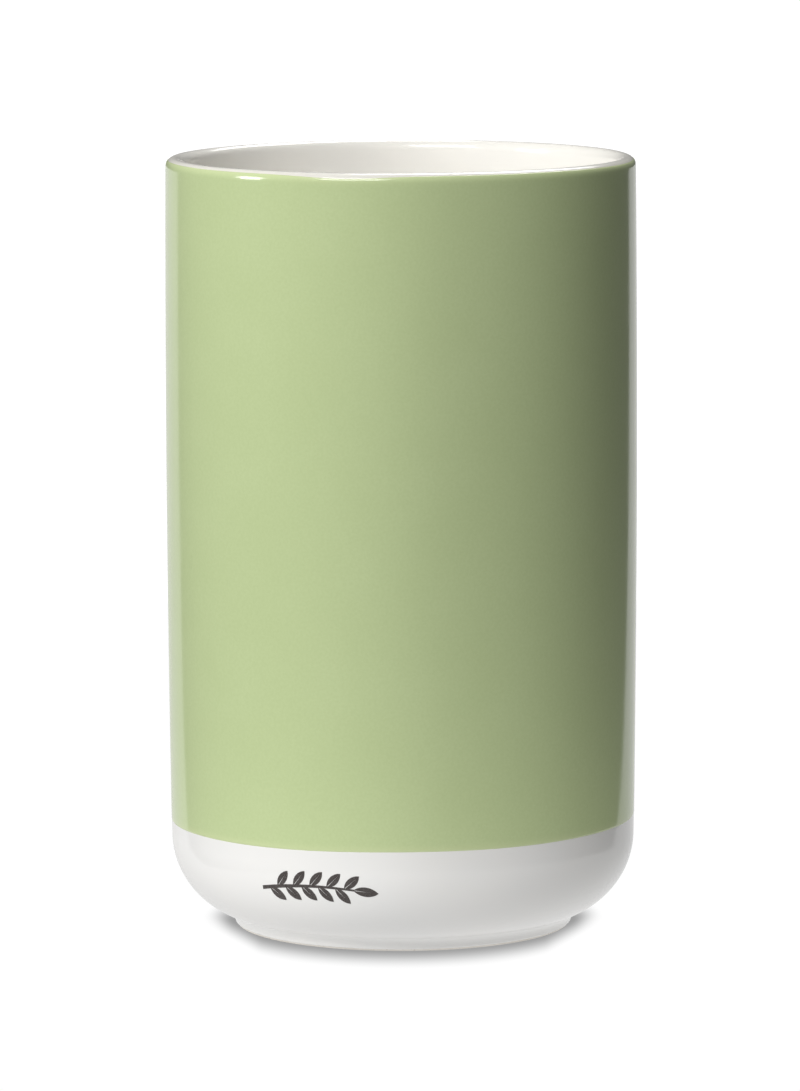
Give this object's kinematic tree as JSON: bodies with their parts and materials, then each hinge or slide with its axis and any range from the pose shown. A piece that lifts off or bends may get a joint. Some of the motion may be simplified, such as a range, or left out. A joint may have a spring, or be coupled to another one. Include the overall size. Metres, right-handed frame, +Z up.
{
  "type": "vase",
  "caption": "Straight-sided glazed stoneware vase with a rounded lip, a softly rounded white base and a low foot ring; stands upright and holds stems and water.",
  "frame": {"origin": "centre of the foot ring on the plane that the vase stands on", "axes": "+Z up the vase's own axis of rotation; the printed sprig faces -Y; X and Y are across the vase"},
  "size_m": [0.1, 0.1, 0.164],
  "materials": {
    "stoneware_clay": "bare fired stoneware, matt and faintly speckled",
    "green_glaze": "gloss glaze over a soft sage green, faintly mottled",
    "white_glaze": "gloss warm white glaze",
    "print": "fired-on dark print, satin"
  },
  "bodies": {
    "root": {"stoneware_body": "stoneware_clay", "green_glaze": "green_glaze", "base_glaze": "white_glaze", "lining_glaze": "white_glaze", "underside_glaze": "white_glaze", "sprig_print": "print"}
  },
  "joints": []
}
